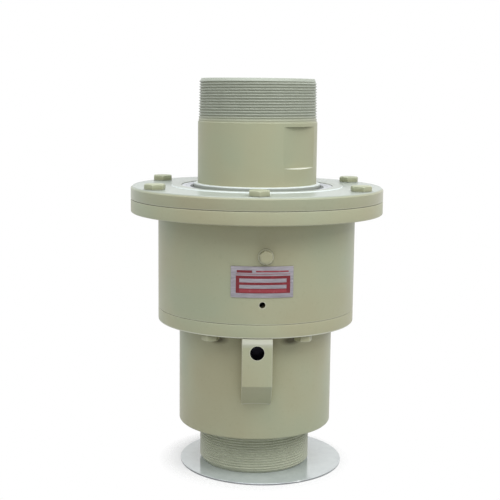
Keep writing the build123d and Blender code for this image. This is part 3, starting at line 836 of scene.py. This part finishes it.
def thread_rows(radius, low, high):
    """Outline corners that give a threaded stretch its fine rings, from low to high."""
    count = round((high - low) / pitch * ROWS_PER_PITCH)
    return [(radius, low + (high - low) * i / count) for i in range(count + 1)]


def cut_thread(piece, radius, low, high, depth, run_in=0.0, run_out=0.0, taper=0.0):
    """Push the rings of a threaded stretch into a climbing ridge. A taper narrows it upwards."""
    for vertex in piece.data.vertices:
        x, y, z = vertex.co
        here = math.hypot(x, y)
        if here < radius - 0.05 * MM or not low - MERGE <= z <= high + MERGE:
            continue
        phase = ((z - low) / pitch - math.atan2(y, x) / (2 * math.pi)) % 1.0
        ridge = 1 - abs(2 * phase - 1)
        tooth = min(1.0, max(0.0, (ridge - THREAD_FLAT) / (1 - 2 * THREAD_FLAT)))
        if run_in:
            tooth *= min(1.0, max(0.0, (z - low) / run_in))
        if run_out:
            tooth *= min(1.0, max(0.0, (high - z) / run_out))
        inward = depth * tooth + taper * (z - low)
        vertex.co.x = x * (radius - inward) / here
        vertex.co.y = y * (radius - inward) / here
    print(piece.name, "thread turns", round((high - low) / pitch, 1))


# %% [markdown]
# The rotor is the pipe that turns. Its seat in the bearings, the collar under the lip seal, the plain
# neck and the thread are one outline. The two wrench flats are milled into the neck by a block that is
# turned to each flat, and its sloped lower side leaves the ledge that a wrench stands on.

# %% Rotor pipe
rotor_bore_radius = 55 * MM
rotor_pipe_radius = 70.65 * MM
rotor_thread_radius = 70.0 * MM
rotor_seat_radius = 70.0 * MM
ring_pocket_radius = 64.05 * MM
rotor_thread = (rotor_thread_radius, shoulder_level, rotor_top - 3.5 * MM)
bearing_top = levels("upper_bearing_cup")[1]
pocket_floor = levels("rotating_seal_ring")[1]
collar_edge_low = collar_top - 1.3 * MM
pipe_steps = 192

rotor = turned("rotor_pipe", [
    (ring_pocket_radius, rotor_low),
    (rotor_seat_radius, rotor_low, 0.5 * MM),
    (rotor_seat_radius, bearing_top),
    (collar_radius, bearing_top),
    (collar_radius, collar_edge_low),
    (collar_radius, collar_top, 1.0 * MM),
    (rotor_pipe_radius, collar_top, 0.6 * MM),
    (rotor_pipe_radius, shoulder_level - 0.6 * MM, 0.3 * MM),
    *thread_rows(*rotor_thread),
    (rotor_thread_radius - 3.5 * MM, rotor_top, 0.5 * MM),
    (rotor_bore_radius + 2 * MM, rotor_top, 0.4 * MM),
    (rotor_bore_radius, rotor_top - 2 * MM, 0.4 * MM),
    (rotor_bore_radius, pocket_floor),
    (ring_pocket_radius, pocket_floor),
], steps=pipe_steps)
cut_thread(rotor, *rotor_thread, 1.6 * MM, run_in=2.2 * pitch, taper=0.6 / 32)
flat_azimuth = 45.0
flat_depth = 4.6 * MM
flat_low = cover_top + 24.5 * MM
flat_height = 47 * MM
ledge_drop = 0.22 * flat_height
mill_half_width = 0.1
mill_depth = 0.04
for azimuth in (flat_azimuth, flat_azimuth + 180):
    mill = block((-mill_half_width, 0, 0), (mill_half_width, flat_height, mill_depth))
    for vertex in mill.data.vertices:
        if vertex.co.z > 0 and vertex.co.y < flat_height / 2:
            vertex.co.y -= ledge_drop
    mill.data.transform(facing(azimuth, rotor_pipe_radius - flat_depth, flat_low))
    combine(rotor, mill)
finish_mesh(rotor, smooth_angle=30)
dress(rotor, rotor_paint, highlight_paint, cover_paint, ledge_highlight_paint)
# The collar's top edge and the flats' lower ledges get painted highlights, the collar's wall the cover's
# lighter top colour as painted light.
for face in rotor.data.polygons:
    off_axis = math.hypot(face.center.x, face.center.y)
    if off_axis > rotor_pipe_radius + 0.2 * MM and face.center.z < collar_top + MM:
        face.material_index = 1 if face.center.z > collar_edge_low else 2
    elif flat_low - 2 * MM < face.center.z < flat_low + 2 * MM and face.normal.z > 0.5:
        face.material_index = 3
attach(rotor, "rotor")
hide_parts("rotor")

# %% [markdown]
# The stator pipe stands still. Its thread is cut a little shallower than the rotor's and runs out just
# below the housing, and paint has settled in it. Above the thread it sits in the housing's floor.

# %% Stator pipe
stator_thread = (stator_radius, stator_low + 3.5 * MM, housing_low - 1.5 * MM)

stator = turned("stator_pipe_threaded", [
    (rotor_bore_radius + 2 * MM, stator_low),
    (stator_radius - 3.5 * MM, stator_low, 0.5 * MM),
    *thread_rows(*stator_thread),
    (stator_radius, housing_low),
    (stator_seat_radius, housing_low),
    (stator_seat_radius, sleeve_seat),
    (sleeve_radius, sleeve_seat),
    (sleeve_radius, stator_top),
    (rotor_bore_radius, stator_top),
    (rotor_bore_radius, stator_low + 2 * MM, 0.4 * MM),
], steps=pipe_steps)
cut_thread(stator, *stator_thread, 1.4 * MM, run_out=3 * pitch)
finish_mesh(stator, smooth_angle=30)
dress(stator, stator_paint)
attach(stator, "root")
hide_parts("stator_pipe")

# %% [markdown]
# A hexagon bolt is a six-sided cylinder whose corners are turned off at thirty degrees. The head is
# made once from a primitive, crowned by intersecting it with a cone, and then copied to every hole of
# the pattern, each copy with its own mesh. No two bolts stop at the same angle when they are tightened,
# so each copy gets a small turn of its own.

# %% Helper for hexagon bolts


def hex_head(name, across_flats, height, washer=0.4 * MM, crown_share=0.475):
    """A hexagon head standing on z = 0, with turned-off corners and a washer face."""
    corner = across_flats / math.sqrt(3)
    outside = corner + MM
    crown_radius = across_flats * crown_share
    crown_drop = (outside - crown_radius) * math.tan(math.radians(30))
    head = cylinder(corner, washer, height, 6, turn=30)
    head.name = name
    crown = turned(name + "_crown", [
        (0, -MM),
        (outside, -MM),
        (outside, height - crown_drop),
        (crown_radius, height),
        (0, height),
    ], steps=48)
    combine(head, crown, "INTERSECT")
    bevel(head, 0.35 * MM, 2, sharper_than=25)
    return head


def add_round(piece, radius, low, high):
    """Join a plain round shank or washer face to a piece, upright about the Z axis."""
    join([piece, cylinder(radius, low, high, 48)], piece.name)


def bolt_ring(node, name, pattern, circle, flip, turns):
    """Copy a finished bolt to each hole of a circle and join the copies into one piece."""
    radius, start, seat = circle
    copies = []
    for i, turn in enumerate(turns):
        angle = math.radians(start + 360 / len(turns) * i)
        place = Matrix.Translation((radius * math.cos(angle), radius * math.sin(angle), seat))
        spin = Matrix.Rotation(angle + math.radians(turn), 4, "Z")
        copy = copy_of(pattern)
        copy.data.transform(place @ spin @ flip)
        copies.append(copy)
    bpy.data.objects.remove(pattern, do_unlink=True)
    ring = join(copies, name)
    finish_mesh(ring, smooth_angle=28)
    dress(ring, bolt_paint)
    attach(ring, "root")
    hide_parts(node)


# %% Cover bolts and lower bolts
HEAD_UP = Matrix.Identity(4)
HEAD_DOWN = Matrix.Rotation(math.pi, 4, "X")
washer_face_height = 0.5 * MM
overlap = 0.2 * MM

cover_bolt_circle = (flange_radius - 15 * MM, -90, cover_top)
cover_bolt_turns = (0, 7, -12, 21, 4, -9)
cover_bolt = hex_head("cover_bolt", across_flats=22 * MM, height=6.6 * MM)
add_round(cover_bolt, radius=10.4 * MM, low=0, high=washer_face_height)
add_round(cover_bolt, radius=7 * MM, low=-25 * MM, high=overlap)
cover_pattern = (cover_bolt, cover_bolt_circle, HEAD_UP, cover_bolt_turns)
bolt_ring("cover_bolts", "cover_hex_bolts", *cover_pattern)

lower_bolt_circle = ((lower_radius + body_radius) / 2, -60, lower_flange_low)
lower_bolt_turns = (12, -8, 3, 17, -5, 9)
lower_bolt = hex_head("lower_bolt", across_flats=18 * MM, height=7.5 * MM)
add_round(lower_bolt, radius=8.5 * MM, low=0, high=washer_face_height)
add_round(lower_bolt, radius=6 * MM, low=-31 * MM, high=overlap)
lower_pattern = (lower_bolt, lower_bolt_circle, HEAD_DOWN, lower_bolt_turns)
bolt_ring("lower_housing_bolts", "lower_hex_bolts", *lower_pattern)

# %% [markdown]
# The oil plug is a small hexagon plug on a sealing washer, painted over with the rest. It is made
# upright like the bolts, and then laid on the spot face that was cut for it in the body.

# %% Oil plug
plug_seat = body_radius - spot_depth
plug_turn = -22
washer_inner = 5.05 * MM
washer_outer = 8.7 * MM
washer_height = 1.45 * MM
plug = hex_head("oil_plug_hex", 14 * MM, 7 * MM, washer=0.3 * MM, crown_share=0.38)
add_round(plug, radius=5 * MM, low=-14 * MM, high=overlap)
plug.data.transform(Matrix.Rotation(math.radians(plug_turn), 4, "Z"))
plug.data.transform(facing(plug_azimuth, plug_seat + 1.5 * MM, plug_level))
finish_mesh(plug, smooth_angle=28)
dress(plug, bolt_paint)
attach(plug, "root")
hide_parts("oil_plug")

washer = turned("oil_plug_washer", [
    (washer_inner, 0),
    (washer_outer, 0, 0.3 * MM),
    (washer_outer, washer_height, 0.5 * MM),
    (washer_inner, washer_height),
], steps=48)
washer.data.transform(facing(plug_azimuth, plug_seat + 0.02 * MM, plug_level))
finish_mesh(washer)
dress(washer, bolt_paint)
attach(washer, "root")
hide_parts("plug_washer")

# %% [markdown]
# The nameplate is thin aluminium, rolled to the body and held by two rivets. A bent sheet could be bent
# by a modifier, but it is plainer to lay it out flat, cut it into upright strips, and place each point
# at the angle that its distance along the body takes it to. The same helper makes the printed panels.

# %% Nameplate
plate_azimuth = 2.3
plate_width = 70 * MM
plate_height = 35 * MM
plate_level = sum(levels("nameplate")) / 2
plate_seat = body_radius + 0.05 * MM
plate_thickness = 0.8 * MM
strip_width = 1.2 * MM


def wrapped_panel(name, left, right, low, high, bottom, top, rounding=0.0):
    """A thin flat panel of the plate, cut into strips and rolled to the body's radius."""
    panel = block((left, low, bottom), (right, high, top))
    panel.name = name
    if rounding:
        bevel(panel, rounding, 2)
    strips = max(2, round((right - left) / strip_width))
    for i in range(1, strips):
        slice_at(panel, (left + (right - left) * i / strips, 0, 0), (1, 0, 0), away=False)
    for vertex in panel.data.vertices:
        along, up, out = vertex.co
        azimuth = plate_azimuth + math.degrees(along / plate_seat)
        vertex.co = facing(azimuth, plate_seat + out, plate_level + up).translation
    return panel


sheet = (-plate_width / 2, plate_width / 2, -plate_height / 2, plate_height / 2, 0, plate_thickness)
plate = wrapped_panel("nameplate_sheet", *sheet, rounding=0.3 * MM)
finish_mesh(plate)


def enamel(name, colour, worn):
    """Printed enamel with slight wear."""
    return two_tone(name, worn, colour, 160.0, spread=0.7, stops=(0.32, 0.46), Roughness=0.38)


aluminium = two_tone(
    "plate_aluminium", (136, 132, 138), (165, 161, 168), 90.0, stretch=(1, 1, 14), relief=0.15,
    Metallic=0.55, Roughness=0.42,
)
dark_enamel = enamel("dark_red_enamel", (112, 12, 26), (128, 30, 42))
light_enamel = enamel("light_red_enamel", (144, 46, 56), (160, 84, 90))
dress(plate, aluminium)
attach(plate, "root")
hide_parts("nameplate")

# %% [markdown]
# The print is left generic: a dark frame with two empty rows and a pale one, under three plain rules.
# It is a set of thin raised enamel bars, so it stays sharp from close by. All sizes count from the
# middle of the plate.

# %% The printed frame on the nameplate
print_left = -29.2 * MM
print_right = 31.2 * MM
print_low = -12.4 * MM
print_high = 7.0 * MM
row_left = print_left + 3.9 * MM
row_right = print_right - 4.2 * MM
print_bottom = plate_thickness - 0.05 * MM
print_top = plate_thickness + 0.12 * MM
line = 0.9 * MM
pale_row_top = -7.2 * MM - line
dark_bars = [
    (print_left, row_left, print_low, print_high),
    (row_right, print_right, print_low, print_high),
    (row_left, row_right, 3.9 * MM, print_high),
    (row_left, row_right, -3.1 * MM, -0.4 * MM),
    (row_left, row_right, pale_row_top, pale_row_top + line),
    (row_left, row_right, print_low, print_low + line),
    (print_left + MM, print_left + 18 * MM, 10.4 * MM, 13.2 * MM),
]
light_bars = [
    (row_left, row_right, print_low + line, pale_row_top),
    (print_left, print_right, 8.7 * MM, 9.2 * MM),
    (print_left + 22 * MM, print_right - 2 * MM, 11.2 * MM, 12.8 * MM),
]


def printed(name, bars, finish):
    """Roll a set of flat enamel bars on to the plate and join them."""
    panels = [wrapped_panel(name, *bar, print_bottom, print_top) for bar in bars]
    piece = finish_mesh(join(panels, name))
    dress(piece, finish)
    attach(piece, "root")


printed("nameplate_print_dark", dark_bars, dark_enamel)
printed("nameplate_print_light", light_bars, light_enamel)

# %% [markdown]
# Two small rivets hold the plate, one near each end. A rivet is turned upright, head above and shank
# below, and then laid on the plate with its head outwards.

# %% Rivets
rivet_azimuth = math.degrees((plate_width / 2 - 2.0 * MM) / body_radius)
shank_radius = 1.0 * MM
shank_end = -5 * MM
head_radius = 1.4 * MM
rivets = []
for end in (-1, 1):
    rivet = turned("rivet", [
        (0, shank_end),
        (shank_radius, shank_end),
        (shank_radius, 0),
        (head_radius, 0),
        (head_radius, 0.5 * MM, 0.4 * MM),
        (0, 0.58 * MM),
    ], steps=32)
    azimuth = plate_azimuth + end * rivet_azimuth
    rivet.data.transform(facing(azimuth, plate_seat + plate_thickness, plate_level))
    rivets.append(rivet)
rivet_pair = join(rivets, "nameplate_rivet_pair")
finish_mesh(rivet_pair)
dress(rivet_pair, aluminium)
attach(rivet_pair, "root")
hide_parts("nameplate_rivets")

# %% [markdown]
# The parts inside and the cap keep their CAD shapes and only get their finishes: ground steel for the
# bearings, rubber for the seals, brass for the cages, carbon for the seal ring, and glossy plastic for
# the cap, with a grey band on its side edge as painted shade. A CAD node takes a material through its
# slots, and its mesh isn't touched.

# %% Finishes of the CAD nodes
# Painted shade: a grey band on the side edge of the cap's disc.
disc_side_shade = (-MM, stator_low - 0.4 * MM, 0.2 * MM)
cap_plastic = two_tone(
    "cap_plastic", (186, 195, 196), (200, 208, 208), 45.0, 6.0, 0.7, stops=(0.3, 0.6), relief=0.1,
    band=disc_side_shade, band_colour=to_linear(120, 124, 126),
    Roughness=0.16, IOR=1.6, Coat_Weight=1.0, Coat_IOR=1.8, Coat_Roughness=0.1,
)
brass = ground_steel("cage_brass", (205, 170, 95), (170, 135, 70), 0.38)
carbon = rubber("carbon_graphite", (58, 58, 60), (34, 34, 36))

SLOT_FINISHES = {
    "bright_steel": steel,
    "cage_brass": brass,
    "seal_rubber": nitrile,
    "carbon": carbon,
    "cap_plastic": cap_plastic,
    "housing_paint": paint,
    "bolt_paint": bolt_paint,
    "plug_steel": bolt_paint,
    "plate_aluminium": aluminium,
}
for row in frame["record"]["subparts"]:
    piece = frame["nodes"][row["node"]]
    finish = SLOT_FINISHES[row["material_slot"]]
    for material_slot in piece.material_slots:
        material_slot.material = finish
    if not piece.material_slots:
        piece.data.materials.append(finish)

# %% [markdown]
# The spring under the carrier is pressed together when the seal lifts. A spring can't follow the slide
# as one rigid piece; here a copy of its CAD mesh, with a mesh of its own, stands in for it at full
# height.

# %% Seal spring
start_clean()
spring = copy_of(frame["nodes"]["seal_spring"])
spring.name = "seal_spring_coil"
for key in list(spring.keys()):
    del spring[key]
finish_mesh(spring)
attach(spring, "root")
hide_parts("seal_spring")
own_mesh(spring)
dress(spring)

# %% [markdown]
# The stage is a plain white floor. Near the union it takes the soft shadow, and further out it fades
# into the white of the world, so no horizon shows. It is clear from below and to very short rays, so it
# neither hides nor darkens the union's underside.

# %% Floor
shadow_radius = 0.072
fade_radius = 0.118
shortest_ray = 0.7 * MM
start_clean()
bpy.ops.mesh.primitive_plane_add(size=14)
floor = bpy.context.object
floor.name = "floor"
floor.location.z = -0.2 * MM
floor_material, tree, shader = new_material("floor_white")
set_values(shader, Roughness=0.75)
ray = tree.nodes.new("ShaderNodeLightPath").outputs
pale = mix_colour(tree, ray["Is Camera Ray"], (0.50, 0.50, 0.50), (0.88, 0.88, 0.88))
feed(tree, pale, shader.inputs["Base Color"])
distance = add_node(tree, "ShaderNodeVectorMath", operation="LENGTH")
feed(tree, object_place(tree), distance.inputs[0])
fade = rescale(tree, distance.outputs["Value"], shadow_radius, fade_radius)
seen = calc(tree, "MAXIMUM", ray["Is Camera Ray"], ray["Is Glossy Ray"])
faded = calc(tree, "MULTIPLY", fade, seen)
back = tree.nodes.new("ShaderNodeNewGeometry").outputs["Backfacing"]
close = calc(tree, "LESS_THAN", ray["Ray Length"], shortest_ray)
open_side = calc(tree, "MAXIMUM", back, close)
clear = tree.nodes.new("ShaderNodeBsdfTransparent").outputs["BSDF"]
faded_floor = mix_shader(tree, faded, shader.outputs["BSDF"], clear)
one_sided = mix_shader(tree, open_side, faded_floor, clear)
output = tree.nodes["Material Output"]
feed(tree, one_sided, output.inputs["Surface"])
floor.data.materials.append(floor_material)
print("floor fades from", shadow_radius, "to", fade_radius)

# %% World
ambient_strength = 0.38
world = bpy.data.worlds.new("studio")
bpy.context.scene.world = world
world.use_nodes = True
tree = world.node_tree
tree.nodes.clear()
backgrounds = []
for strength in (ambient_strength, 1.0):
    node = add_node(tree, "ShaderNodeBackground", Strength=strength, Color=(1, 1, 1, 1))
    backgrounds.append(node.outputs["Background"])
ray = tree.nodes.new("ShaderNodeLightPath").outputs
seen = calc(tree, "MAXIMUM", ray["Is Camera Ray"], ray["Is Glossy Ray"])
through = calc(tree, "MAXIMUM", seen, ray["Is Transmission Ray"])
world_output = tree.nodes.new("ShaderNodeOutputWorld")
feed(tree, mix_shader(tree, through, *backgrounds), world_output.inputs["Surface"])
print("world lights with", ambient_strength, "and looks white")

# %% [markdown]
# The light is soft and comes from all around, as in a white room. A large lamp hangs overhead, so tops
# are bright and the flange throws a soft shadow on the body. Three more stand high in front, and the
# right one is the strongest, which models the round parts.

# %% Lamps


def area_lamp(name, location, target, size, power, colour=(1, 1, 1)):
    """A square soft box that looks at a target."""
    data = bpy.data.lights.new(name, "AREA")
    data.size = size
    data.energy = power
    data.color = colour
    lamp = bpy.data.objects.new(name, data)
    bpy.context.collection.objects.link(lamp)
    lamp.location = location
    lamp.rotation_euler = (Vector(target) - Vector(location)).to_track_quat("-Z", "Y").to_euler()


middle = (0, 0, rotor_top / 2)
area_lamp("ceiling", (0, -0.1, 1.9), middle, 1.6, 17, (0.92, 1.0, 1.10))
area_lamp("front_high", (0, -1.5, 1.9), middle, 1.2, 12)
area_lamp("right_high", (1.5, -1.0, 1.7), middle, 1.2, 22)
area_lamp("left_high", (-1.5, -1.0, 1.7), middle, 1.2, 10)
print("lamps", [lamp.name for lamp in bpy.data.lights])

# %% [markdown]
# The camera stands a little above the cover and looks slightly down, with a medium telephoto lens. It
# is turned and tilted by a fraction of a degree, as a hand-held camera is. Its place is found like one
# on the body, only further out, then turned by yaw, pitch and roll. All angles are in degrees.

# %% Camera
camera_azimuth = -1.19
camera_distance = 1.266
camera_height = cover_top + 107.8 * MM
camera_pitch = 8.353
camera_yaw = -0.338
camera_roll = 0.623
camera_lens = 76.42

camera_data = bpy.data.cameras.new("camera")
camera_data.lens = camera_lens
camera_data.sensor_width = 36
camera = bpy.data.objects.new("camera", camera_data)
bpy.context.collection.objects.link(camera)
turn = facing(camera_azimuth, camera_distance, camera_height)
for angle, axis in ((-camera_yaw, "Y"), (-camera_pitch, "X"), (camera_roll, "Z")):
    turn = turn @ Matrix.Rotation(math.radians(angle), 4, axis)
camera.matrix_world = turn
bpy.context.scene.camera = camera
bpy.context.scene.view_settings.view_transform = "Standard"
print("camera at", [round(value, 3) for value in camera.matrix_world.translation])

# %% Clear the selection
start_clean()
